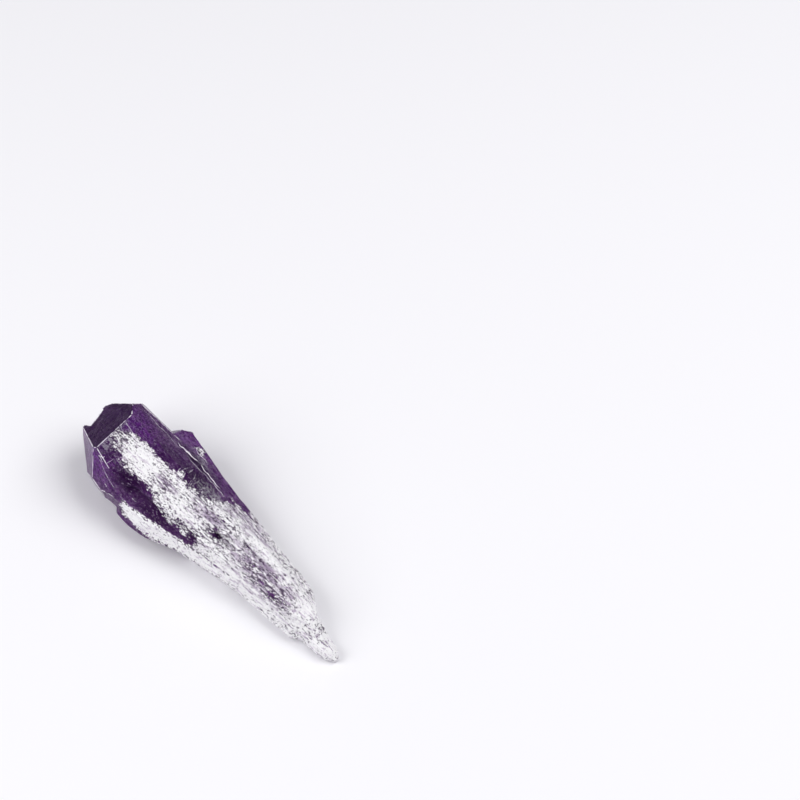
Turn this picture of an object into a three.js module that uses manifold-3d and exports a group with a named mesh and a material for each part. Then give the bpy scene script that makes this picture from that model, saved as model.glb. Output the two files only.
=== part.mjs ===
// Raw amethyst point: one crystal with a blunt faceted head, a side crystal grown on its flank,
// a long ledge, slender ribs and a rough tapering root. It lies on its side.
//
// Units are millimetres and +Z is up. The long axis runs along X, with the head at -X and the root
// at +X. The origin is under the middle of the point, on the surface it rests on.

import * as THREE from 'three';
import { ConvexGeometry } from 'three/addons/geometries/ConvexGeometry.js';
import { mergeVertices } from 'three/addons/utils/BufferGeometryUtils.js';
import { ImprovedNoise } from 'three/addons/math/ImprovedNoise.js';
import Module from 'manifold-3d';

// Driving dimensions. A station is measured along the crystal from the tip of its head, and a reach
// from its axis out to a face.
const headStation = 25;        // where the head is widest
const headReach = 13;
const shoulderStation = 12.5;  // where the sloping end faces meet the side faces
const endSlope = 37;           // between an end face and the axis, in degrees
const bodyEnd = 98;            // where the body draws in to the root
const rootEnd = 109.5;         // the end of the stub
const restLean = 5;            // between the axis and the side the crystal lies on, in degrees
const restReach = 11;          // from the axis to that side, at the head station

// Surface roughness: none on the head, growing along the body to the root.
const smoothUntil = 24;
const roughFrom = 62;
const lumpyFrom = 84;
const ribDepth = 0.62;
const grainDepth = 0.3;
const lumpDepth = 1.1;
const restMargin = 2.4;        // height over which the roughness fades out above the resting side

// Longest triangle edges, on the plain head and on the rough body.
const headEdge = 12;
const bodyEdge = 4;

const amethyst = new THREE.MeshStandardMaterial({ color: 0x5b2f86, roughness: 0.22, metalness: 0 });

const wasm = await Module();
wasm.setup();
const noise = new ImprovedNoise();
const rad = THREE.MathUtils.degToRad;
const { lerp, smoothstep } = THREE.MathUtils;
const xAxis = new THREE.Vector3(1, 0, 0);

// One flat face of a crystal whose axis is X. turn is the way it looks around the axis, in degrees
// from +Y towards +Z. lean is its angle to the axis: above 0 it closes in on the tip, below 0 on the
// root. It lies at the given reach where x is station.
function face(turn, lean, station, reach) {
  const cos = Math.cos(rad(turn));
  const sin = Math.sin(rad(turn));
  const out = Math.cos(rad(lean));
  const normal = new THREE.Vector3(-Math.sin(rad(lean)), out * cos, out * sin);
  const point = new THREE.Vector3(station, reach * cos, reach * sin);
  return new THREE.Plane().setFromNormalAndCoplanarPoint(normal, point);
}

// The point where three faces meet, or nothing where two of them are parallel.
function meeting(a, b, c) {
  const bc = new THREE.Vector3().crossVectors(b.normal, c.normal);
  const ca = new THREE.Vector3().crossVectors(c.normal, a.normal);
  const ab = new THREE.Vector3().crossVectors(a.normal, b.normal);
  const size = a.normal.dot(bc);
  if (Math.abs(size) < 1e-6) {
    return null;
  }
  const sum = bc.multiplyScalar(-a.constant);
  sum.addScaledVector(ca, -b.constant);
  sum.addScaledVector(ab, -c.constant);
  return sum.divideScalar(size);
}

// The convex solid that lies behind all the faces.
function solidBehind(faces) {
  const corners = [];
  for (let i = 0; i < faces.length; i += 1) {
    for (let j = i + 1; j < faces.length; j += 1) {
      for (let k = j + 1; k < faces.length; k += 1) {
        const corner = meeting(faces[i], faces[j], faces[k]);
        if (corner && faces.every((plane) => plane.distanceToPoint(corner) < 1e-5)) {
          corners.push(corner);
        }
      }
    }
  }
  return asSolid(new ConvexGeometry(corners));
}

function asSolid(geometry) {
  geometry.deleteAttribute('normal');
  geometry.deleteAttribute('uv');
  const merged = mergeVertices(geometry, 1e-4);
  return new wasm.Manifold(new wasm.Mesh({
    numProp: 3,
    vertProperties: new Float32Array(merged.attributes.position.array),
    triVerts: new Uint32Array(merged.index.array),
  }));
}

function asGeometry(solid) {
  const mesh = solid.getMesh();
  const geometry = new THREE.BufferGeometry();
  geometry.setAttribute('position', new THREE.BufferAttribute(new Float32Array(mesh.vertProperties), 3));
  geometry.setIndex(new THREE.BufferAttribute(new Uint32Array(mesh.triVerts), 1));
  return geometry;
}

// A slender six-sided crystal, pointed at its head and its tail, which are given as [x, y, z]. Every
// other end face is steeper, so the points are a little blunt.
function slenderCrystal({ head, tail, headRadius, tailRadius, roll = 0, slope = 36 }) {
  const from = new THREE.Vector3(...head);
  const along = new THREE.Vector3(...tail).sub(from);
  const span = along.length();
  const taper = -THREE.MathUtils.radToDeg(Math.atan((headRadius - tailRadius) / span));
  const faces = [face(0, -90, span, 0)];
  for (let side = 0; side < 6; side += 1) {
    const turn = roll + side * 60;
    const steep = slope + (side % 2) * 10;
    faces.push(face(turn, taper, 0, headRadius));
    faces.push(face(turn, steep, 0, headRadius * 0.1 * (side % 3)));
    faces.push(face(turn, -steep, span, tailRadius * (0.3 + 0.1 * (side % 3))));
  }
  const turned = new THREE.Quaternion().setFromUnitVectors(xAxis, along.divideScalar(span));
  const place = new THREE.Matrix4().compose(from, turned, new THREE.Vector3(1, 1, 1));
  return solidBehind(faces.map((plane) => plane.clone().applyMatrix4(place)));
}

// The faces of the main crystal: a prism that tapers to the root, with a chisel-shaped head.
const upperSides = [
  face(3, 0.2, headStation, headReach * 0.99),
  face(33, -1, headStation, headReach * 1.06),
  face(62, -5.5, headStation, headReach * 0.92),
  face(107, -5, headStation, headReach * 0.74),
];
const leftSides = [
  face(155, 7, headStation, headReach * 1.05),
  face(196, 10, headStation, headReach * 1.16),
  face(150, -8, headStation, headReach * 0.97),
  face(185, -9.5, headStation + 5, headReach * 1.02),
  face(215, -8, headStation, headReach * 1.03),
];
const lowerSides = [
  face(245, -5, headStation, headReach * 0.95),
  face(300, -5, headStation, headReach * 0.92),
  face(8, -7.5, 58, headReach * 0.98),
  face(335, -7, 55, headReach * 0.88),
];
const endFaces = [
  face(107, endSlope - 1, shoulderStation, headReach * 0.8),
  face(47, endSlope + 2, shoulderStation, headReach * 1.23),
  face(347, endSlope, shoulderStation, headReach * 0.95),
  face(287, endSlope, shoulderStation, headReach * 0.51),
  face(227, endSlope, shoulderStation, headReach * 0.92),
  face(170, endSlope - 6, shoulderStation, headReach * 0.88),
];
const rootFaces = [15, 80, 140, 205, 270, 320].map((turn) => face(turn, -34, bodyEnd - 4, 5.2));
const mainFaces = [...upperSides, ...leftSides, ...lowerSides, ...endFaces, ...rootFaces];

// How far the main crystal reaches from its axis, looking the way turn says at a station.
function skinReach(turn, station) {
  const way = new THREE.Vector3(0, Math.cos(rad(turn)), Math.sin(rad(turn)));
  const ray = new THREE.Ray(new THREE.Vector3(station, 0, 0), way);
  return Math.min(...mainFaces.map((plane) => ray.distanceToPlane(plane) ?? Infinity));
}

// A slender crystal half sunk in the skin of the main one, which it stands proud of by rise. It
// runs from one station to another and may swing around the axis by twist degrees.
function rib({ turn, twist = 0, from, to, radius, rise }) {
  const onSkin = (way, station, size) => {
    const reach = skinReach(way, station) - size + rise;
    return [station, reach * Math.cos(rad(way)), reach * Math.sin(rad(way))];
  };
  const tailRadius = radius * 0.6;
  return slenderCrystal({
    head: onSkin(turn, from, radius),
    tail: onSkin(turn + twist, to, tailRadius),
    headRadius: radius,
    tailRadius,
    roll: turn + 30,
    slope: 15,
  });
}

// The crystal grown on the right flank. Its head stands free and its tail dies out in the body.
const sideCrystal = slenderCrystal({
  head: [19.5, 14, 1], tail: [64, 9, -1.5], headRadius: 5.9, tailRadius: 3, roll: 20, slope: 42,
});

// The long ledge down the lower left side.
const ledge = slenderCrystal({
  head: [22.5, -9.4, -4.2], tail: [98, 0.4, -1.6], headRadius: 5, tailRadius: 2.4, roll: 35, slope: 34,
});

// Ribs of the body, dying out towards the root, all around the crystal.
const ribs = [
  { turn: 86, twist: 4, from: 34, to: 96, radius: 4, rise: 0.7 },
  { turn: 120, twist: -4, from: 46, to: 92, radius: 3.4, rise: 0.6 },
  { turn: 52, twist: -6, from: 54, to: 96, radius: 3.6, rise: 0.7 },
  { turn: 330, twist: 8, from: 30, to: 92, radius: 4.6, rise: 1.3 },
  { turn: 232, twist: 6, from: 36, to: 94, radius: 4, rise: 1.1 },
  { turn: 2, twist: 4, from: 62, to: 94, radius: 3.4, rise: 0.8 },
];

// The rough root: thick lumps where the body ends, then a stub.
const rootLumps = [
  { head: [62, 4.2, 1], tail: [99, 2, -1.4], headRadius: 4.4, tailRadius: 3.2, roll: 12, slope: 18 },
  { head: [60, -2, -2.2], tail: [99, -1.9, -2.2], headRadius: 3.7, tailRadius: 3.2, roll: 40, slope: 18 },
  {
    head: [84, 0.9, -0.8], tail: [rootEnd, -0.6, -2.6], headRadius: 5.2, tailRadius: 1.9,
    roll: 0, slope: 24,
  },
];

// What is missing from the crystal: the notch in the edge of the head, the long groove beside the
// ledge and a few pits. A groove is the mould of a slender crystal that lies mostly outside the skin.
const notch = slenderCrystal({
  head: [-10, 4.9, -9.3], tail: [3.2, -6.1, 15.3], headRadius: 5.4, tailRadius: 5.4,
});
const grooves = [
  { turn: 152, twist: -3, from: 26, to: 66, radius: 2.6, rise: 3.6 },
  { turn: 141, twist: -2, from: 46, to: 58, radius: 1.9, rise: 2.5 },
  { turn: 106, twist: 3, from: 57, to: 66, radius: 1.7, rise: 2.2 },
  { turn: 76, twist: 2, from: 70, to: 82, radius: 1.6, rise: 2.3 },
  { turn: 268, twist: 5, from: 40, to: 62, radius: 2.2, rise: 3 },
];

const grown = wasm.Manifold.union([
  solidBehind(mainFaces),
  sideCrystal,
  ledge,
  ...ribs.map(rib),
  ...rootLumps.map(slenderCrystal),
]).subtract(wasm.Manifold.union([notch, ...grooves.map(rib)]));

// Laid on its resting side, which is then cut flat at z = 0.
function laidDown(solid) {
  const restFace = face(270, -restLean, headStation, restReach);
  const settle = new THREE.Matrix4().makeRotationY(rad(restLean));
  settle.setPosition(0, 0, -restFace.constant);
  const below = new THREE.BoxGeometry(300, 100, 40).translate(0, 0, -20);
  return asSolid(asGeometry(solid).applyMatrix4(settle)).subtract(asSolid(below));
}

// The longest edge allowed around a station.
function edgeLimit(station) {
  return lerp(headEdge, bodyEdge, smoothstep(station, smoothUntil - 8, smoothUntil + 8));
}

// Splits the longest edge of every triangle, in both triangles that share it, until none is too long.
function refined(geometry) {
  const points = [];
  const { position } = geometry.attributes;
  for (let i = 0; i < position.count; i += 1) {
    points.push(new THREE.Vector3().fromBufferAttribute(position, i));
  }
  let triangles = [];
  for (let i = 0; i < geometry.index.count; i += 3) {
    triangles.push([...geometry.index.array.slice(i, i + 3)]);
  }
  const key = (a, b) => `${Math.min(a, b)} ${Math.max(a, b)}`;
  const edges = ([a, b, c]) => [[a, b, c], [b, c, a], [c, a, b]];
  const span = ([a, b]) => points[a].distanceTo(points[b]);
  const longest = (list) => list.reduce((best, edge) => (span(edge) > span(best) ? edge : best));

  let middles = new Map();
  const split = (triangle) => {
    const marked = edges(triangle).filter(([a, b]) => middles.has(key(a, b)));
    if (marked.length === 0) {
      return [triangle];
    }
    const [a, b, c] = longest(marked);
    const middle = middles.get(key(a, b));
    return [...split([a, middle, c]), ...split([middle, b, c])];
  };
  do {
    middles = new Map();
    triangles.forEach((triangle) => {
      const [a, b] = longest(edges(triangle));
      const middle = points[a].clone().lerp(points[b], 0.5);
      if (!middles.has(key(a, b)) && points[a].distanceTo(points[b]) > edgeLimit(middle.x)) {
        middles.set(key(a, b), points.push(middle) - 1);
      }
    });
    triangles = triangles.flatMap(split);
  } while (middles.size > 0);
  return { points, triangles };
}

// How far the rough surface stands out at a point of the body.
function roughness({ x, y, z }) {
  const rough = smoothstep(x, smoothUntil, roughFrom);
  const lumpy = smoothstep(x, lumpyFrom, bodyEnd);
  const ribs = noise.noise(x / 24, y / 3.1, z / 3.1);
  const grain = noise.noise(x / 5 + 40, y / 2.4, z / 2.4);
  const lumps = noise.noise(x / 4.5, y / 4.2 + 20, z / 4.2);
  return rough * (ribDepth * ribs + grainDepth * grain) + lumpy * lumpDepth * lumps;
}

// Every point of the body is moved straight out from the axis, and the resting side stays flat.
function roughened({ points, triangles }) {
  const moved = points.map((point) => {
    const axis = new THREE.Vector3(point.x, 0, lerp(restReach, 4, smoothstep(point.x, 0, rootEnd)));
    const out = point.clone().sub(axis).normalize();
    const free = smoothstep(point.z, 0, restMargin);
    return point.clone().addScaledVector(out, roughness(point) * free);
  });
  const geometry = new THREE.BufferGeometry().setFromPoints(moved);
  geometry.setIndex(triangles.flat());
  return geometry;
}

const shape = roughened(refined(asGeometry(laidDown(grown))));
shape.computeBoundingBox();
const middle = shape.boundingBox.getCenter(new THREE.Vector3());
shape.translate(-middle.x, -middle.y, 0);

const point = new THREE.Mesh(shape, amethyst);
point.name = 'amethyst_point';
const model = new THREE.Group();
model.add(point);

export default model;
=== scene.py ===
import math
import random

import bmesh
import bpy
import numpy as np
from mathutils import Matrix, Vector, noise
from mathutils.bvhtree import BVHTree


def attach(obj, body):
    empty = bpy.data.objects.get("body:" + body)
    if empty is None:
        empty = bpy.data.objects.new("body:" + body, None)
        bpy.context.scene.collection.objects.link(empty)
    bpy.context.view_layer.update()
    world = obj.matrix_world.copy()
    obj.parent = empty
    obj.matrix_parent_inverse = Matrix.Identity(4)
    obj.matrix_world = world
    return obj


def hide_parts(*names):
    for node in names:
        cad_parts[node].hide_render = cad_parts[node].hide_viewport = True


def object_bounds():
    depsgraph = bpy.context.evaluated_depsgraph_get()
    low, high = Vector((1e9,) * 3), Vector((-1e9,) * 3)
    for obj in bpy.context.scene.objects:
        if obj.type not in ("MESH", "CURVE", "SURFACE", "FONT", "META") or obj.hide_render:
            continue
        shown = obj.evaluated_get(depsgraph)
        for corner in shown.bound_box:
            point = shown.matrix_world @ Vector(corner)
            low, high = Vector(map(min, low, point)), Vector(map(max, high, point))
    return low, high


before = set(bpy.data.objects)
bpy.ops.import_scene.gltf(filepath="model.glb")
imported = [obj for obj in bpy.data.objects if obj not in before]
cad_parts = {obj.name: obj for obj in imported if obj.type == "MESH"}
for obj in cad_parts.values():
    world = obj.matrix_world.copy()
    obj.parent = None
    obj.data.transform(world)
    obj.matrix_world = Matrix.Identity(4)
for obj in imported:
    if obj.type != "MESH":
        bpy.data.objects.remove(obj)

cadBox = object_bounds()
millimetre = 0.001
nodeName = "amethyst_point"

# Where the crystal's own axis runs, in millimetres and degrees
axis = {
    "tipStation": 1.0,   # station of the foremost vertex
    "tipHeight": 13.14,  # above the ground there
    "side": -0.7,        # towards +Y
    "lean": 5.0,         # how steeply it falls towards the root
}


# Working helpers

def deselectAll():
    if bpy.context.object and bpy.context.object.mode != "OBJECT":
        bpy.ops.object.mode_set(mode="OBJECT")
    bpy.ops.object.select_all(action="DESELECT")


def makeActive(piece):
    deselectAll()
    piece.select_set(True)
    bpy.context.view_layer.objects.active = piece


def copyOfCrystal(name):
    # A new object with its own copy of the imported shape, its doubles merged
    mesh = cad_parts[nodeName].data.copy()
    mesh.name = name
    mesh.materials.clear()
    piece = bpy.data.objects.new(name, mesh)
    bpy.context.scene.collection.objects.link(piece)
    makeActive(piece)
    bpy.ops.object.mode_set(mode="EDIT")
    bpy.ops.mesh.select_all(action="SELECT")
    bpy.ops.mesh.remove_doubles(threshold=0.002 * millimetre)
    bpy.ops.object.mode_set(mode="OBJECT")
    return piece


def vertexArray(piece):
    places = np.zeros(len(piece.data.vertices) * 3)
    piece.data.vertices.foreach_get("co", places)
    return places.reshape(-1, 3)


def normalArray(piece):
    normals = np.zeros(len(piece.data.vertices) * 3)
    piece.data.vertex_normals.foreach_get("vector", normals)
    return normals.reshape(-1, 3)


def setVertices(piece, places):
    piece.data.vertices.foreach_set("co", places.astype(np.float32).ravel())
    piece.data.update()


def setAttribute(piece, name, values):
    layer = piece.data.attributes.get(name) or piece.data.attributes.new(name, "FLOAT", "POINT")
    layer.data.foreach_set("value", np.asarray(values, np.float32))


def applyModifier(piece, modifier):
    makeActive(piece)
    bpy.ops.object.modifier_apply(modifier=modifier.name)


def deleteVertices(piece, chosen):
    makeActive(piece)
    bpy.ops.object.mode_set(mode="EDIT")
    bpy.ops.mesh.select_mode(type="VERT")
    bpy.ops.mesh.select_all(action="DESELECT")
    bpy.ops.object.mode_set(mode="OBJECT")
    piece.data.vertices.foreach_set("select", chosen)
    bpy.ops.object.mode_set(mode="EDIT")
    bpy.ops.mesh.delete(type="VERT")
    bpy.ops.object.mode_set(mode="OBJECT")


def smoothStep(low, high, values):
    share = np.clip((values - low) / (high - low), 0, 1)
    return share * share * (3 - 2 * share)


def patternOf(places, stretch, octaves=4, offset=0.0, rough=0.7):
    # Fractal noise from about -1 to 1, stretched by so many features per millimetre along each axis
    points = places / millimetre * np.array(stretch) + offset
    return np.array([noise.fractal(Vector(p), rough, 2.0, octaves) for p in points])


def crystalPlace(places):
    # Station along the crystal, turn round its axis and distance from it
    mm = places / millimetre
    tip = cadBox[0].x / millimetre
    station = mm[:, 0] - tip + axis["tipStation"]
    height = axis["tipHeight"] - (mm[:, 0] - tip) * math.tan(math.radians(axis["lean"]))
    side = mm[:, 1] - axis["side"]
    up = mm[:, 2] - height
    turn = np.degrees(np.arctan2(up, side))
    turn = np.where(turn < -90, turn + 360, turn)
    return station, turn, np.hypot(side, up)


def spotAt(place, station, turn, halfLength, halfWidth):
    # 1 in the middle of an oval spot on the skin, falling to 0 at its edge
    stations, turns, reaches = place
    along = (stations - station) / halfLength
    aside = (turns - turn) * np.radians(reaches) / halfWidth
    return np.clip(1 - np.hypot(along, aside), 0, 1)


def zoneStrength(places, spots):
    # How strongly the listed spots colour each point
    place = crystalPlace(places)
    total = np.zeros(len(places))
    for s, t, length, width, amount in spots:
        total = np.maximum(total, amount * smoothStep(0, 0.8, spotAt(place, s, t, length, width)))
    return total


# The crystal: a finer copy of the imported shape, with worn edges, striae and growth relief

crystalSettings = {
    "flatAngle": 1.0,       # degrees, faces flatter than this are joined before the edges are worn
    "wornAngle": 20.0,      # edges sharper than this are worn
    "wornUntil": 34.0,      # stations
    "wornWidth": 0.22,      # mm
    "edgeLength": 0.85,     # mm, the longest edge left
    "striaeDepth": 0.1,     # mm
    "pitDepth": 0.12,
    "faceRelief": 0.035,
    "striaeStretch": (0.09, 1.3, 1.3),    # features per mm, along and across
    "pitStretch": (0.35, 0.9, 0.9),
    "hillockStretch": (0.3, 0.35, 0.35),
    "smoothUntil": 16.0,    # stations between which the glossy head turns into the dull body
    "roughFrom": 34.0,
    "restFade": (0.1, 1.2),  # mm above the ground between which the relief sets in
    "smoothAngle": 24.0,
    "endFacePaintedShade": 0.8,        # how dark the end face's painted shade is
    "endClear": 0.9,        # how far the other colours keep off it
    "deepVioletAndShade": [              # station, turn, half length, half width, amount: where it is almost black, painted shade in the recesses and the groove, partly the crystal's own deep violet
        (28, 149, 9.0, 6.0, 1.0),
        (40, 161, 14.0, 5.0, 1.0),
        (53, 152, 11.0, 4.0, 1.0),
        (32, 77, 12.0, 6.0, 0.5),
        (42, 68, 11.0, 8.0, 0.85),
        (36, 39.5, 12.0, 1.5, 1.0),
        (37, 38, 14.0, 3.0, 0.8),
        (17, 138, 6.0, 4.0, 0.6),
        (12, 100, 4.5, 2.2, 0.7),
        (60, 123, 5.0, 4.0, 1.0),
    ],
    "glow": [               # where it is bright violet
        (15, 162, 11.0, 8.0, 1.0),
        (19, 76, 11.0, 6.0, 0.55),
        (29, 22, 9.0, 5.0, 0.6),
    ],
    "haze": [               # greyish bands
        (21, 49, 15.0, 2.6, 0.9),
        (22, 186, 14.0, 4.0, 0.8),
        (45, 190, 18.0, 5.0, 0.6),
        (33, 28, 12.0, 2.4, 0.6),
        (25, 34, 9.0, 4.0, 0.5),
        (16, 38, 10.0, 4.5, 0.9),
    ],
    "frost": [              # where it is bruised white
        (14.5, 118, 7.0, 8.5, 0.8),
        (24, 138, 7.0, 2.5, 0.6),
        (48, 66, 8.0, 5.0, 0.75),
        (36, 26, 9.0, 2.5, 0.6),
    ],
}


shadedEndFace = (-0.52, -0.24, 0.82)  # the way the end face looks, which is painted dark as shade


# How nearly each normal points the end face's way, where shade is painted
def onShadedEndFace(normals):
    return smoothStep(0.92, 0.97, normals @ np.array(shadedEndFace))


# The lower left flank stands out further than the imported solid's flat faces do
flankSwell = [(37, 200, 14.0, 8.5, 2.0)]  # station, turn, half length, half width, mm


def swellFlank(places):
    place = crystalPlace(places)
    turns = np.radians(place[1])
    grown = places.copy()
    for s, t, length, width, amount in flankSwell:
        push = amount * millimetre * smoothStep(0, 0.9, spotAt(place, s, t, length, width))
        grown[:, 1] += push * np.cos(turns)
        grown[:, 2] += push * np.sin(turns)
    return grown


def headEdges(body, settings):
    limit = cadBox[0].x + (settings["wornUntil"] - axis["tipStation"]) * millimetre
    return [edge for edge in body.edges if all(corner.co.x < limit for corner in edge.verts)]


def sharpHeadEdges(body, settings):
    sharpest = math.radians(settings["wornAngle"])
    return [edge for edge in headEdges(body, settings) if edge.calc_face_angle() > sharpest]


def wearEdges(body, settings):
    # Joins the head's flat faces, then bevels its sharp edges a little
    edges = headEdges(body, settings)
    corners = list(dict.fromkeys(corner for edge in edges for corner in edge.verts))
    bmesh.ops.dissolve_limit(body, angle_limit=math.radians(settings["flatAngle"]),
                             verts=corners, edges=edges)
    body.normal_update()
    bmesh.ops.bevel(body, geom=sharpHeadEdges(body, settings), offset=settings["wornWidth"] * millimetre,
                    segments=1, profile=0.5, affect="EDGES", clamp_overlap=True)
    bmesh.ops.triangulate(body, faces=body.faces, quad_method="SHORT_EDGE", ngon_method="BEAUTY")


def splitEdges(body, longest):
    # Halves the longest edges first, until none is over the length, and leaves no cracks
    while True:
        over = [edge for edge in body.edges if edge.calc_length() > longest]
        if not over:
            return
        longestNow = max(edge.calc_length() for edge in over)
        over = [edge for edge in over if edge.calc_length() > 0.6 * longestNow]
        bmesh.ops.subdivide_edges(body, edges=over, cuts=1)
        wide = [face for face in body.faces if len(face.verts) > 3]
        bmesh.ops.triangulate(body, faces=wide, quad_method="SHORT_EDGE", ngon_method="BEAUTY")


def sharpLines(body, settings):
    # The head's sharp edges as (start, end, outward normal)
    lines = []
    for edge in sharpHeadEdges(body, settings):
        outward = sum((face.normal for face in edge.link_faces), Vector()).normalized()
        lines.append((edge.verts[0].co.copy(), edge.verts[1].co.copy(), outward))
    return lines


def makeCrystal(settings):
    piece = copyOfCrystal("crystal")
    body = bmesh.new()
    body.from_mesh(piece.data)
    lines = sharpLines(body, settings)
    wearEdges(body, settings)
    splitEdges(body, settings["edgeLength"] * millimetre)
    body.to_mesh(piece.data)
    body.free()
    places = vertexArray(piece)
    normals = normalArray(piece)
    place = crystalPlace(places)
    dull = smoothStep(settings["smoothUntil"], settings["roughFrom"], place[0])
    striae = patternOf(places, settings["striaeStretch"], 4)
    pits = patternOf(places, settings["pitStretch"], 4, 17.0)
    hillocks = patternOf(places, settings["hillockStretch"], 3, 31.0)
    relief = (dull * (striae * settings["striaeDepth"] - np.clip(pits, 0, 1) * settings["pitDepth"])
              + hillocks * settings["faceRelief"])
    resting = smoothStep(*settings["restFade"], places[:, 2] / millimetre)
    grown = swellFlank(places) + normals * (relief * resting)[:, None] * millimetre
    grown[:, 2] = np.maximum(grown[:, 2], 0)
    setVertices(piece, grown)
    setAttribute(piece, "dull", dull)
    # The end face gets painted shade: it is darkened by the way it faces, not by its own colour
    endFaceShadeMask = onShadedEndFace(normals)
    for zone in ("glow", "haze", "frost"):
        setAttribute(piece, zone, zoneStrength(places, settings[zone]) * (1 - settings["endClear"] * endFaceShadeMask))
    # Near black of the zones, partly painted shade, joined by the end face's painted shade
    deepVioletAndShade = np.maximum(zoneStrength(places, settings["deepVioletAndShade"]), settings["endFacePaintedShade"] * endFaceShadeMask)
    setAttribute(piece, "deepVioletAndShade", deepVioletAndShade)
    makeActive(piece)
    bpy.ops.object.shade_smooth_by_angle(angle=math.radians(settings["smoothAngle"]))
    print("crystal", len(piece.data.polygons), "faces")
    return piece, lines


# The white crust: a rough skin that grew over the root and the back, ragged towards the head

crustSettings = {
    "voxel": 0.33,          # mm
    "begins": [             # (turn, station) where the crust starts, going round the crystal
        (-90, 58), (-40, 60), (0, 56), (23, 58), (29, 53), (57, 52), (76, 50), (84, 44), (88, 38),
        (91, 24), (94, 16.5), (97, 14), (104, 11.5), (120, 10), (128, 12.5), (133, 17),
        (138, 20.4), (139.5, 26.8),
        (141, 31), (143.5, 35), (147, 39), (152, 41), (160, 42), (164, 45), (168, 54), (170.5, 50),
        (172, 41), (174, 33), (177, 28.5), (186, 28.5), (191, 31), (197, 44), (205, 50), (220, 52),
        (245, 54), (270, 58),
    ],
    "gaps": [               # station, turn, half length, half width, depth in mm
        (47, 165, 5.0, 1.4, 1.5),
        (54, 156, 5.0, 2.3, 2.2),
        (59, 123, 3.4, 2.2, 2.4),
        (71, 122, 3.0, 1.0, 1.0),
        (83, 137, 5.0, 1.1, 1.1),
        (14, 100, 3.5, 3.0, 1.4),
        (13, 128, 4.0, 3.0, 1.0),
        (20, 137, 4.0, 2.4, 1.2),
    ],
    "patches": [
        (37.5, 77, 2.2, 2.6, 3.6),
        (33, 20, 5.0, 1.8, 9.0),
        (50, 68, 6.0, 4.0, 1.8),
        (39.5, 149, 3.5, 3.0, 2.0),
    ],
    "deepest": 6.0,         # mm, no point counts as further inside or outside the border
    "broad": 0.7,           # mm, how far slow noise moves the border
    "broadStretch": (0.22, 0.4, 0.4),     # features per mm, along and across
    "fine": 1.4,            # mm, how far quick noise frays it
    "fineStretch": (0.5, 1.2, 1.2),
    "calmed": 0.8,          # how much less it frays where the crust is compact
    "fullDepth": 1.8,       # mm from the border at which the crust is full
    "thickness": 0.26,      # mm, and so are the five below
    "grain": 0.08,
    "striae": 0.14,
    "cavities": 0.4,
    "sunk": 0.1,
    "wall": 0.35,
    "grainStretch": (1.1, 1.4, 1.4),
    "striaeStretch": (0.1, 0.9, 0.9),
    "cavityStretch": (0.55, 1.35, 1.35),
    "restFade": (0.05, 1.2),  # mm above the ground between which the crust grows thick
    "lowest": 0.03,         # mm above the ground
    "bareBelow": -0.45,     # mm outside the border, the skin ends here
    "smoothAngle": 60.0,
    "crumb": 10,            # vertices, smaller islands are dropped
    "lilac": [              # station, turn, half length, half width, amount
        (37, 117, 6.0, 2.2, 1.0),
        (53, 102, 9.0, 3.0, 0.9),
        (77, 112, 20.0, 6.0, 0.8),
        (80, 150, 16.0, 4.0, 0.6),
        (60, 40, 16.0, 6.0, 0.7),
    ],
    "pitted": [
        (50, 155, 12.0, 3.2, 1.0),
        (59, 123, 6.0, 3.2, 1.0),
        (72, 120, 8.0, 2.4, 0.6),
        (83, 137, 11.0, 2.6, 0.8),
        (46, 70, 9.0, 5.0, 0.9),
        (13, 118, 9.0, 10.0, 1.25),
        (98, 150, 6.0, 5.0, 0.4),
    ],
    "compact": [            # where it is thick and clean
        (48, 179, 34.0, 5.5, 1.1),
        (72, 174, 26.0, 5.0, 0.9),
        (27, 117, 8.0, 4.5, 0.8),
        (46, 135, 8.0, 3.5, 0.6),
        (75, 62, 26.0, 4.0, 0.6),
        (101, 110, 16.0, 14.0, 1.0),
    ],
}


def borderStation(outline, turns):
    return np.interp(turns, [p[0] for p in outline], [p[1] for p in outline])


def crustDepth(places, settings):
    # How far inside the crust's ragged border a point lies, in millimetres
    place = crystalPlace(places)
    station, turn, reach = place
    start = borderStation(settings["begins"], turn)
    slope = (borderStation(settings["begins"], turn + 1) - borderStation(settings["begins"], turn - 1))
    slope = slope / (2 * np.radians(np.maximum(reach, 2)))
    depth = (station - start) / np.sqrt(1 + slope * slope)
    depth = np.clip(depth, -settings["deepest"], settings["deepest"])
    for s, t, length, width, amount in settings["gaps"]:
        depth = depth - spotAt(place, s, t, length, width) * (np.maximum(depth, 0) + amount)
    for s, t, length, width, amount in settings["patches"]:
        depth = depth + spotAt(place, s, t, length, width) * amount
    broad = patternOf(places, settings["broadStretch"], 2, 5.0)
    fine = patternOf(places, settings["fineStretch"], 4, 41.0, 0.2)
    ragged = 1 - settings["calmed"] * np.clip(zoneStrength(places, settings["compact"]), 0, 1)
    return depth + (broad * settings["broad"] + fine * settings["fine"]) * ragged


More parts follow.
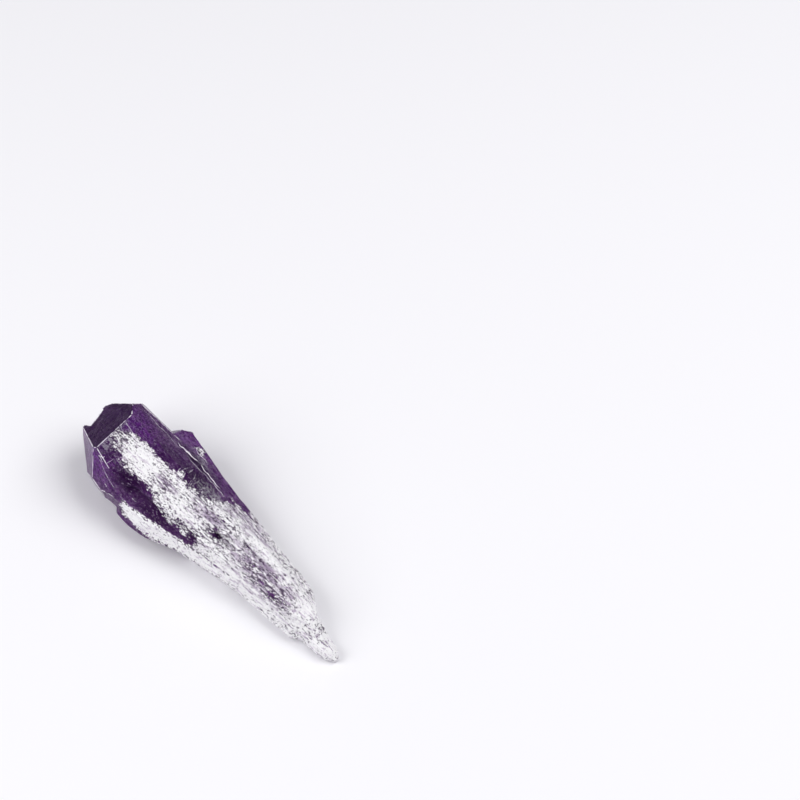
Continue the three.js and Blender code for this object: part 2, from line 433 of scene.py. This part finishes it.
def makeCrust(settings):
    piece = copyOfCrystal("crust")
    remesh = piece.modifiers.new("fine", "REMESH")
    remesh.mode = "VOXEL"
    remesh.voxel_size = settings["voxel"] * millimetre
    applyModifier(piece, remesh)
    places = vertexArray(piece)
    normals = normalArray(piece)
    depth = crustDepth(places, settings) - settings["deepest"] * onShadedEndFace(normals)
    full = smoothStep(0, settings["fullDepth"], depth)
    grain = patternOf(places, settings["grainStretch"], 3, 9.0)
    striae = patternOf(places, settings["striaeStretch"], 3, 23.0)
    pitted = zoneStrength(places, settings["pitted"])
    cavities = smoothStep(0.12, 0.5, patternOf(places, settings["cavityStretch"], 3, 77.0))
    cavities = cavities * (0.3 + 0.7 * pitted)
    thickness = (np.clip(depth / 0.6, -1, 0) * settings["sunk"]
                 + full * settings["thickness"]
                 + smoothStep(0, 1, depth) * (grain * settings["grain"] + striae * settings["striae"]
                                              - cavities * settings["cavities"]))
    resting = smoothStep(*settings["restFade"], places[:, 2] / millimetre)
    lift = np.minimum(thickness, 0) + np.maximum(thickness, 0) * resting
    grown = swellFlank(places) + normals * lift[:, None] * millimetre
    grown[:, 2] = np.maximum(grown[:, 2], settings["lowest"] * millimetre)
    setVertices(piece, grown)
    setAttribute(piece, "depth", depth)
    setAttribute(piece, "lilac", zoneStrength(places, settings["lilac"]))
    setAttribute(piece, "compact", zoneStrength(places, settings["compact"]))
    setAttribute(piece, "pitted", pitted)
    setAttribute(piece, "cavities", cavities)
    deleteVertices(piece, depth < settings["bareBelow"])
    dropCrumbs(piece, settings["crumb"])
    wall = piece.modifiers.new("wall", "SOLIDIFY")
    wall.thickness = settings["wall"] * millimetre
    wall.offset = -1
    wall.use_even_offset = False
    applyModifier(piece, wall)
    makeActive(piece)
    bpy.ops.object.shade_smooth_by_angle(angle=math.radians(settings["smoothAngle"]))
    print("crust", len(piece.data.polygons), "faces")
    return piece


def dropCrumbs(piece, fewest):
    # Deletes the islands of fewer vertices than that
    mesh = piece.data
    pairs = np.zeros(len(mesh.edges) * 2, int)
    mesh.edges.foreach_get("vertices", pairs)
    pairs = pairs.reshape(-1, 2)
    label = np.arange(len(mesh.vertices))
    while True:
        lowest = label.copy()
        np.minimum.at(lowest, pairs[:, 0], label[pairs[:, 1]])
        np.minimum.at(lowest, pairs[:, 1], label[pairs[:, 0]])
        lowest = lowest[lowest]
        if (lowest == label).all():
            break
        label = lowest
    deleteVertices(piece, np.bincount(label, minlength=len(label))[label] < fewest)


# White strands: bruised edges round the head, partly painted edge highlights, slivers in the groove and
# healed hair cracks

strandSettings = {
    "seed": 8,
    "step": 0.45,           # mm between points
    "sides": 5,
    "flatness": 0.6,
    "edgeRadius": 0.14,     # mm
    "backShare": 0.5,       # how much thinner the edge bruises and painted highlights are on the side turned away
    "bareEdges": [          # stations and turns between which the edges stay bare
        (14, 36, 50, 93),
        (17.5, 36, 136, 163),
    ],
    "slivers": [            # (station, turn) from, to, widest radius in mm
        ((27.8, 42), (36.6, 34.5), 0.4),
        ((37.5, 35), (47.5, 36.5), 0.26),
        ((30.5, 24), (38.0, 20), 0.16),
        ((33.0, 46), (40.5, 44), 0.12),
        ((40.0, 42), (50.5, 40), 0.14),
        ((15.2, 151), (17.4, 145), 0.2),
        ((16.0, 149), (17.8, 153), 0.14),
    ],
    "cracks": [
        ((15.6, 153), (25.6, 169), 0.09),
        ((13.5, 190), (24.5, 178), 0.08),
        ((13.5, 51), (31.0, 45.5), 0.07),
        ((19.0, 152), (19.8, 140), 0.08),
        ((14.3, 91), (22.3, 95.5), 0.1),
        ((21.8, 95.5), (30.5, 104), 0.09),
    ],
    "hairZone": (35.5, 46.5, 54, 88),  # stations and turns
    "hairs": 12,
    "hairRadius": 0.08,
}


def skinPoint(tree, station, turn):
    # Where the skin lies at that station and turn, and its normal
    along = (station - axis["tipStation"]) * millimetre
    height = axis["tipHeight"] * millimetre - along * math.tan(math.radians(axis["lean"]))
    outward = Vector((0, math.cos(math.radians(turn)), math.sin(math.radians(turn))))
    middle = Vector((cadBox[0].x + along, axis["side"] * millimetre, height))
    farOutside = 0.05  # metres from the axis
    place, normal, _, _ = tree.ray_cast(middle + outward * farOutside, -outward)
    return place, normal


def addStrand(body, points, normals, radii, settings):
    # A thin closed strand along the points, drawn out to a tip at both ends
    sides = settings["sides"]
    rings = []
    for i in range(1, len(points) - 1):
        along = (points[i + 1] - points[i - 1]).normalized()
        aside = along.cross(normals[i]).normalized()
        over = aside.cross(along)
        ring = []
        for k in range(sides):
            angle = 2 * math.pi * k / sides
            reach = aside * math.cos(angle) + over * math.sin(angle) * settings["flatness"]
            ring.append(body.verts.new(points[i] + reach * radii[i] * millimetre))
        rings.append(ring)
    first = body.verts.new(points[0])
    last = body.verts.new(points[-1])
    for k in range(sides):
        after = (k + 1) % sides
        body.faces.new((first, rings[0][after], rings[0][k]))
        body.faces.new((last, rings[-1][k], rings[-1][after]))
        for ring, nextRing in zip(rings, rings[1:]):
            body.faces.new((ring[k], ring[after], nextRing[after], nextRing[k]))


def addSkinStrand(body, tree, start, end, radius, settings, wander):
    # A strand laid on the skin between two places, thickest in its middle
    count = max(5, int(abs(end[0] - start[0]) / settings["step"]), int(abs(end[1] - start[1]) / 3))
    points = []
    normals = []
    radii = []
    for i in range(count + 1):
        share = i / count
        drift = noise.noise(Vector((start[0] + share * 5, start[1], 3.1))) * wander
        place, normal = skinPoint(tree, start[0] + (end[0] - start[0]) * share + drift * 0.3,
                                  start[1] + (end[1] - start[1]) * share + drift)
        if place is None:
            return
        points.append(place)
        normals.append(normal)
        swell = 0.7 + 0.5 * noise.noise(Vector((start[0] * 3 + share * 9, start[1], 7.7)))
        radii.append(radius * math.sin(math.pi * share) ** 0.5 * swell)
    addStrand(body, points, normals, radii, settings)


def addEdgeStrands(body, lines, settings):
    # Bruises along the head's sharp edges, just under the skin; they also stand for painted edge
    # highlights
    for start, end, outward in lines:
        stations, turns, _ = crystalPlace(np.array([(start + end) / 2]))
        station, turn = stations[0], turns[0]
        if any(s0 < station < s1 and t0 < turn < t1 for s0, s1, t0, t1 in settings["bareEdges"]):
            continue
        widest = settings["edgeRadius"] * (1 if 35 < turn < 205 else settings["backShare"])
        count = max(4, int((end - start).length / millimetre / settings["step"]))
        places = [start.lerp(end, i / count) - outward * 0.05 * millimetre for i in range(count + 1)]
        radii = [widest * (0.8 + 0.6 * noise.fractal(place / millimetre * 0.45, 0.8, 2.0, 3))
                 for place in places]
        addStrand(body, places, [outward] * len(places), radii, settings)


def makeStrands(settings, crystal, lines):
    tree = BVHTree.FromObject(crystal, bpy.context.evaluated_depsgraph_get())
    random.seed(settings["seed"])
    body = bmesh.new()
    addEdgeStrands(body, lines, settings)
    for start, end, radius in settings["slivers"]:
        addSkinStrand(body, tree, start, end, radius, settings, 2.5)
    for start, end, radius in settings["cracks"]:
        addSkinStrand(body, tree, start, end, radius, settings, 3.0)
    firstStation, lastStation, firstTurn, lastTurn = settings["hairZone"]
    for _ in range(settings["hairs"]):
        station = random.uniform(firstStation, lastStation)
        turn = random.uniform(firstTurn, lastTurn - 14)
        sweep = random.uniform(14, 32)
        slant = random.uniform(0.2, 1.8)
        radius = settings["hairRadius"] * random.uniform(0.7, 1.3)
        addSkinStrand(body, tree, (station, turn), (station + slant, turn + sweep), radius, settings, 0.6)
    mesh = bpy.data.meshes.new("white_strands")
    for corner in body.verts:
        corner.co.z = max(corner.co.z, 0)
    bmesh.ops.recalc_face_normals(body, faces=body.faces)
    body.to_mesh(mesh)
    body.free()
    piece = bpy.data.objects.new("white_strands", mesh)
    bpy.context.scene.collection.objects.link(piece)
    makeActive(piece)
    bpy.ops.object.shade_smooth()
    print("strands", len(mesh.polygons), "faces")
    return piece


# Materials

def newMaterial(name):
    material = bpy.data.materials.new(name)
    material.use_nodes = True
    nodes = material.node_tree.nodes
    return material, nodes, material.node_tree.links, nodes["Principled BSDF"]


def makeGrainGroup():
    # Noise drawn out along the crystal, cut to a mask between two levels
    tree = bpy.data.node_groups.new("mineralGrain", "ShaderNodeTree")
    face = tree.interface
    stretch = face.new_socket(name="Stretch", in_out="INPUT", socket_type="NodeSocketVector")
    stretch.default_value = (1, 1, 1)
    for name, value in (("Scale", 1.0), ("Detail", 4.0), ("Roughness", 0.6), ("Low", 0.0), ("High", 1.0)):
        socket = face.new_socket(name=name, in_out="INPUT", socket_type="NodeSocketFloat")
        socket.default_value = value
    face.new_socket(name="Mask", in_out="OUTPUT", socket_type="NodeSocketFloat")
    nodes = tree.nodes
    links = tree.links
    given = nodes.new("NodeGroupInput")
    result = nodes.new("NodeGroupOutput")
    where = nodes.new("ShaderNodeTexCoord")
    stretched = nodes.new("ShaderNodeVectorMath")
    stretched.operation = "MULTIPLY"
    inMillimetres = nodes.new("ShaderNodeVectorMath")
    inMillimetres.operation = "SCALE"
    inMillimetres.inputs["Scale"].default_value = 1 / millimetre
    texture = nodes.new("ShaderNodeTexNoise")
    cut = nodes.new("ShaderNodeMapRange")
    cut.interpolation_type = "SMOOTHSTEP"
    links.new(where.outputs["Object"], stretched.inputs[0])
    links.new(given.outputs["Stretch"], stretched.inputs[1])
    links.new(stretched.outputs[0], inMillimetres.inputs[0])
    links.new(inMillimetres.outputs[0], texture.inputs["Vector"])
    for name in ("Scale", "Detail", "Roughness"):
        links.new(given.outputs[name], texture.inputs[name])
    links.new(texture.outputs["Fac"], cut.inputs["Value"])
    links.new(given.outputs["Low"], cut.inputs["From Min"])
    links.new(given.outputs["High"], cut.inputs["From Max"])
    links.new(cut.outputs["Result"], result.inputs["Mask"])
    return tree


grainGroup = makeGrainGroup()


def grain(nodes, stretch, scale, detail=5.0, roughness=0.65, low=0.3, high=0.7):
    node = nodes.new("ShaderNodeGroup")
    node.node_tree = grainGroup
    node.inputs["Stretch"].default_value = stretch
    for name, value in (("Scale", scale), ("Detail", detail), ("Roughness", roughness),
                        ("Low", low), ("High", high)):
        node.inputs[name].default_value = value
    return node.outputs["Mask"]


def attribute(nodes, name):
    node = nodes.new("ShaderNodeAttribute")
    node.attribute_name = name
    return node.outputs["Fac"]


def calculate(nodes, links, operation, first, second, clamp=False):
    node = nodes.new("ShaderNodeMath")
    node.operation = operation
    node.use_clamp = clamp
    for socket, value in ((node.inputs[0], first), (node.inputs[1], second)):
        if isinstance(value, (int, float)):
            socket.default_value = value
        else:
            links.new(value, socket)
    return node.outputs[0]


def rampNode(nodes, links, factor, stops):
    node = nodes.new("ShaderNodeValToRGB")
    ramp = node.color_ramp
    while len(ramp.elements) < len(stops):
        ramp.elements.new(0.5)
    for element, (position, colour) in zip(ramp.elements, stops):
        element.position = position
        element.color = (*colour, 1)
    links.new(factor, node.inputs["Fac"])
    return node.outputs["Color"]


def blendColours(nodes, links, factor, first, second):
    node = nodes.new("ShaderNodeMix")
    node.data_type = "RGBA"
    links.new(factor, node.inputs["Factor"])
    for socket, value in ((node.inputs[6], first), (node.inputs[7], second)):
        if isinstance(value, tuple):
            socket.default_value = (*value, 1)
        else:
            links.new(value, socket)
    return node.outputs[2]


def addBump(nodes, links, shader, height, distance, strength):
    bump = nodes.new("ShaderNodeBump")
    bump.inputs["Strength"].default_value = strength
    bump.inputs["Distance"].default_value = distance * millimetre
    links.new(height, bump.inputs["Height"])
    links.new(bump.outputs["Normal"], shader.inputs["Normal"])


def mapRange(nodes, links, value, lowest, highest, toLowest=0, toHighest=1):
    # The value mapped evenly from one range to another, and kept inside it
    node = nodes.new("ShaderNodeMapRange")
    for name, number in (("From Min", lowest), ("From Max", highest),
                         ("To Min", toLowest), ("To Max", toHighest)):
        node.inputs[name].default_value = number
    links.new(value, node.inputs["Value"])
    return node.outputs["Result"]


def multiply(nodes, links, first, second):
    return calculate(nodes, links, "MULTIPLY", first, second, True)


def veins(nodes, links, stretch, scale, width):
    # Thin lines where a noise crosses its middle
    noiseValue = grain(nodes, stretch, scale, 3, 0.6, 0.0, 1.0)
    away = calculate(nodes, links, "ABSOLUTE", calculate(nodes, links, "SUBTRACT", noiseValue, 0.5), 0)
    return mapRange(nodes, links, away, 0, width, 1, 0)


crystalFinish = {
    "deep": (0.1, 0.018, 0.17),
    "middle": (0.2, 0.06, 0.29),
    "pale": (0.36, 0.16, 0.46),
    "glow": (0.26, 0.055, 0.42),
    "haze": (0.34, 0.22, 0.39),
    "clouds": (0.075, 0.012, 0.125),
    "cloudShare": 0.8,
    "veins": (0.5, 0.34, 0.6),
    "veinShare": 0.75,
    # near-black violet: painted shade, partly the crystal's own deep violet
    "deepVioletAndShade": (0.032, 0.004, 0.055),
    "flecks": (0.55, 0.42, 0.62),
    "bruises": (0.86, 0.82, 0.9),
    "roughness": (0.08, 0.45),   # on the head and on the body
    "bump": (0.06, 0.6),         # mm and strength
    "ior": 1.54,
    "specular": 0.1,
    "specularTint": (0.4, 0.16, 0.55),
    "transmission": 0.6,
    "absorption": (0.48, 0.1, 0.7),
    "density": 260,
}


def crystalMaterial(finish):
    material, nodes, links, shader = newMaterial("violetCrystal")
    dull = attribute(nodes, "dull")
    frost = attribute(nodes, "frost")
    # Violet, mottled, with dark clouds, pale veins, the zones' colours and near black that is partly
    # painted shade
    mottle = grain(nodes, (0.5, 1, 1), 0.4, 6, 0.75, 0.32, 0.68)
    tone = rampNode(nodes, links, mottle, [(0.1, finish["deep"]), (0.5, finish["middle"]),
                                           (0.9, finish["pale"])])
    tone = blendColours(nodes, links, attribute(nodes, "glow"), tone, finish["glow"])
    tone = blendColours(nodes, links, attribute(nodes, "haze"), tone, finish["haze"])
    clouds = grain(nodes, (0.6, 1, 1), 1.1, 3, 0.7, 0.44, 0.56)
    clouds = multiply(nodes, links, clouds, finish["cloudShare"])
    tone = blendColours(nodes, links, clouds, tone, finish["clouds"])
    veined = multiply(nodes, links, veins(nodes, links, (0.6, 1, 1), 0.95, 0.04), finish["veinShare"])
    tone = blendColours(nodes, links, veined, tone, finish["veins"])
    # Near black: painted shade in the recesses, the groove and on the end face, partly the crystal's own
    # deep violet
    tone = blendColours(nodes, links, attribute(nodes, "deepVioletAndShade"), tone, finish["deepVioletAndShade"])
    flecks = grain(nodes, (0.5, 1, 1), 2.2, 3, 0.7, 0.58, 0.66)
    flecks = multiply(nodes, links, flecks, calculate(nodes, links, "ADD", dull, 0.5))
    tone = blendColours(nodes, links, flecks, tone, finish["flecks"])
    bruises = grain(nodes, (0.6, 1, 1), 1.5, 3, 0.75, 0.36, 0.64)
    bruises = calculate(nodes, links, "ADD", bruises, calculate(nodes, links, "MULTIPLY", frost, 0.5))
    bruises = multiply(nodes, links, mapRange(nodes, links, bruises, 0.8, 0.95), frost)
    tone = blendColours(nodes, links, bruises, tone, finish["bruises"])
    links.new(tone, shader.inputs["Base Color"])
    # Glossy head, duller and rougher body
    worn = calculate(nodes, links, "ADD", dull, grain(nodes, (0.4, 1, 1), 0.9))
    links.new(mapRange(nodes, links, worn, 0, 2, *finish["roughness"]), shader.inputs["Roughness"])
    relief = multiply(nodes, links, grain(nodes, (0.45, 1, 1), 2.2, 6, 0.7),
                      calculate(nodes, links, "ADD", dull, 0.08))
    addBump(nodes, links, shader, relief, *finish["bump"])
    shader.inputs["IOR"].default_value = finish["ior"]
    shader.inputs["Specular IOR Level"].default_value = finish["specular"]
    shader.inputs["Specular Tint"].default_value = (*finish["specularTint"], 1)
    shader.inputs["Transmission Weight"].default_value = finish["transmission"]
    shader.inputs["Metallic"].default_value = 0
    absorb = nodes.new("ShaderNodeVolumeAbsorption")
    absorb.inputs["Color"].default_value = (*finish["absorption"], 1)
    absorb.inputs["Density"].default_value = finish["density"]
    links.new(absorb.outputs["Volume"], nodes["Material Output"].inputs["Volume"])
    return material


crustFinish = {
    "chalk": (0.95, 0.945, 0.955),
    "dusty": (0.83, 0.79, 0.85),
    "stained": (0.5, 0.42, 0.54),
    "striae": (0.4, 0.32, 0.45),
    "dashes": (0.06, 0.035, 0.075),
    "specks": (0.25, 0.2, 0.28),
    "bare": (0.04, 0.015, 0.06),  # the dark crystal under the thinnest crust
    "bump": (0.06, 0.8),          # mm and strength
    "roughness": 0.8,
}


def crustMaterial(finish):
    material, nodes, links, shader = newMaterial("whiteCrust")
    lilac = attribute(nodes, "lilac")
    pitted = attribute(nodes, "pitted")
    compact = attribute(nodes, "compact")
    # Chalk, greyer and more lilac in bands along the crystal
    bands = calculate(nodes, links, "ADD", grain(nodes, (0.07, 1, 1), 1.5, 4, 0.7, 0.38, 0.68),
                      calculate(nodes, links, "MULTIPLY", lilac, 0.45))
    chalk = rampNode(nodes, links, bands, [(0.5, finish["chalk"]), (0.75, finish["dusty"]),
                                           (1.0, finish["stained"])])
    striae = multiply(nodes, links, grain(nodes, (0.05, 1, 1), 1.7, 3, 0.6, 0.46, 0.56),
                      calculate(nodes, links, "ADD", lilac, 0.06))
    chalk = blendColours(nodes, links, striae, chalk, finish["striae"])
    # Dark dashes drawn out along the crystal, fewer where the crust is compact
    dashes = grain(nodes, (0.3, 1, 1), 1.8, 3, 0.7, 0.3, 0.7)
    dashes = calculate(nodes, links, "ADD", dashes, multiply(nodes, links, pitted, 0.16))
    dashes = calculate(nodes, links, "ADD", dashes, multiply(nodes, links, lilac, 0.1))
    dashes = calculate(nodes, links, "SUBTRACT", dashes, multiply(nodes, links, compact, 0.36))
    dashes = mapRange(nodes, links, dashes, 0.68, 0.78, 0, 0.95)
    chalk = blendColours(nodes, links, dashes, chalk, finish["dashes"])
    specks = multiply(nodes, links, grain(nodes, (0.55, 1, 1), 2.6, 2, 0.6, 0.57, 0.63),
                      calculate(nodes, links, "SUBTRACT", 0.7, compact))
    chalk = blendColours(nodes, links, specks, chalk, finish["specks"])
    # Near its border and in the pits the crust is so thin that the dark crystal shows
    cover = calculate(nodes, links, "MULTIPLY", attribute(nodes, "depth"), 0.24)
    cover = calculate(nodes, links, "MINIMUM", cover, 0.42)
    cover = calculate(nodes, links, "ADD", cover, grain(nodes, (0.5, 1, 1), 1.9, 3, 0.75, 0.3, 0.7))
    cover = calculate(nodes, links, "SUBTRACT", cover, calculate(nodes, links, "MULTIPLY", pitted, 0.3))
    hollow = calculate(nodes, links, "MULTIPLY", attribute(nodes, "cavities"), 0.4)
    cover = calculate(nodes, links, "SUBTRACT", cover, hollow)
    shown = mapRange(nodes, links, cover, 0.44, 0.54)
    tone = blendColours(nodes, links, shown, finish["bare"], chalk)
    links.new(tone, shader.inputs["Base Color"])
    addBump(nodes, links, shader, grain(nodes, (0.55, 1, 1), 2.4, 4, 0.8), *finish["bump"])
    shader.inputs["Roughness"].default_value = finish["roughness"]
    return material


strandFinish = {
    "lilac": (0.6, 0.5, 0.66),
    "white": (0.92, 0.89, 0.94),
    "roughness": 0.45,
}


def strandMaterial(finish):
    # Pale bruises, which on the head's edges also stand for painted highlights
    material, nodes, links, shader = newMaterial("paleBruiseAndHighlight")
    tone = rampNode(nodes, links, grain(nodes, (1, 1, 1), 1.2),
                    [(0.15, finish["lilac"]), (0.6, finish["white"])])
    links.new(tone, shader.inputs["Base Color"])
    shader.inputs["Roughness"].default_value = finish["roughness"]
    return material


# Build

crystal, headLines = makeCrystal(crystalSettings)
crystal.data.materials.append(crystalMaterial(crystalFinish))
crust = makeCrust(crustSettings)
crust.data.materials.append(crustMaterial(crustFinish))
strands = makeStrands(strandSettings, crystal, headLines)
strands.data.materials.append(strandMaterial(strandFinish))

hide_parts(nodeName)
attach(crystal, "root")
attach(crust, "root")
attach(strands, "root")
print("pieces ride on the root body")


# Stage, lights and camera

stageSettings = {
    "floorSize": 6.0,       # metres
    "floorDrop": 0.00005,   # metres below the point
    "floorTone": (0.93, 0.925, 0.95),
    "floorRoughness": 0.9,
    "worldTone": (0.94, 0.93, 1.0),
    "worldStrength": 0.22,
    "backdropStrength": 0.95,  # what a low camera sees behind the floor
}
lightSettings = [  # name, place in metres, size, watts
    ("key", (0.45, 0.5, 0.9), 0.9, 8.6),
    ("fill", (-0.35, -0.75, 0.7), 0.9, 8.2),
]
cameraSettings = {
    "azimuth": 47.1,         # degrees
    "elevation": 55.0,
    "lens": 120.0,           # mm
    "sensor": 36.0,
    "frameWidth": 800,       # the photograph's pixels
    "pixelsPerMetre": 3330,  # on the point
    "origin": (219.5, 546.5),  # where the part's origin falls in the photograph
}


def makeStage(settings):
    deselectAll()
    bpy.ops.mesh.primitive_plane_add(size=settings["floorSize"], location=(0, 0, -settings["floorDrop"]))
    floor = bpy.context.object
    floor.name = "floor"
    material, _, _, shader = newMaterial("paleFloor")
    shader.inputs["Base Color"].default_value = (*settings["floorTone"], 1)
    shader.inputs["Roughness"].default_value = settings["floorRoughness"]
    floor.data.materials.append(material)
    world = bpy.context.scene.world or bpy.data.worlds.new("studio")
    bpy.context.scene.world = world
    world.use_nodes = True
    background = world.node_tree.nodes["Background"]
    background.inputs["Color"].default_value = (*settings["worldTone"], 1)
    nodes = world.node_tree.nodes
    links = world.node_tree.links
    rays = nodes.new("ShaderNodeLightPath")
    strength = mapRange(nodes, links, rays.outputs["Is Camera Ray"], 0, 1,
                        settings["worldStrength"], settings["backdropStrength"])
    links.new(strength, background.inputs["Strength"])


def makeLights(settings):
    for name, place, size, watts in settings:
        deselectAll()
        bpy.ops.object.light_add(type="AREA", location=place)
        light = bpy.context.object
        light.name = name
        light.data.energy = watts
        light.data.size = size
        light.rotation_euler = (-Vector(place)).to_track_quat("-Z", "Y").to_euler()


def makeCamera(settings):
    deselectAll()
    bpy.ops.object.camera_add()
    camera = bpy.context.object
    camera.data.lens = settings["lens"]
    camera.data.sensor_width = settings["sensor"]
    azimuth = math.radians(settings["azimuth"])
    elevation = math.radians(settings["elevation"])
    right = Vector((math.cos(azimuth), math.sin(azimuth), 0))
    back = Vector((math.sin(azimuth) * math.cos(elevation), -math.cos(azimuth) * math.cos(elevation),
                   math.sin(elevation)))
    up = back.cross(right)
    facing = Matrix((right, up, back)).transposed()
    centre = (cadBox[0] + cadBox[1]) / 2
    focalPixels = settings["lens"] / settings["sensor"] * settings["frameWidth"]
    half = settings["frameWidth"] / 2
    across = settings["origin"][0] + settings["pixelsPerMetre"] * centre.dot(right) - half
    above = half - settings["origin"][1] + settings["pixelsPerMetre"] * centre.dot(up)
    aside = Vector((across, above, -focalPixels)).rotation_difference(Vector((0, 0, -1)))
    distance = focalPixels / settings["pixelsPerMetre"]
    camera.matrix_world = (Matrix.Translation(centre + back * distance)
                           @ facing.to_4x4() @ aside.to_matrix().to_4x4())
    camera.data.clip_start = 0.01
    camera.data.clip_end = 20
    bpy.context.scene.camera = camera


makeStage(stageSettings)
makeLights(lightSettings)
makeCamera(cameraSettings)
bpy.context.scene.view_settings.view_transform = "Standard"
print("stage, lights and camera")
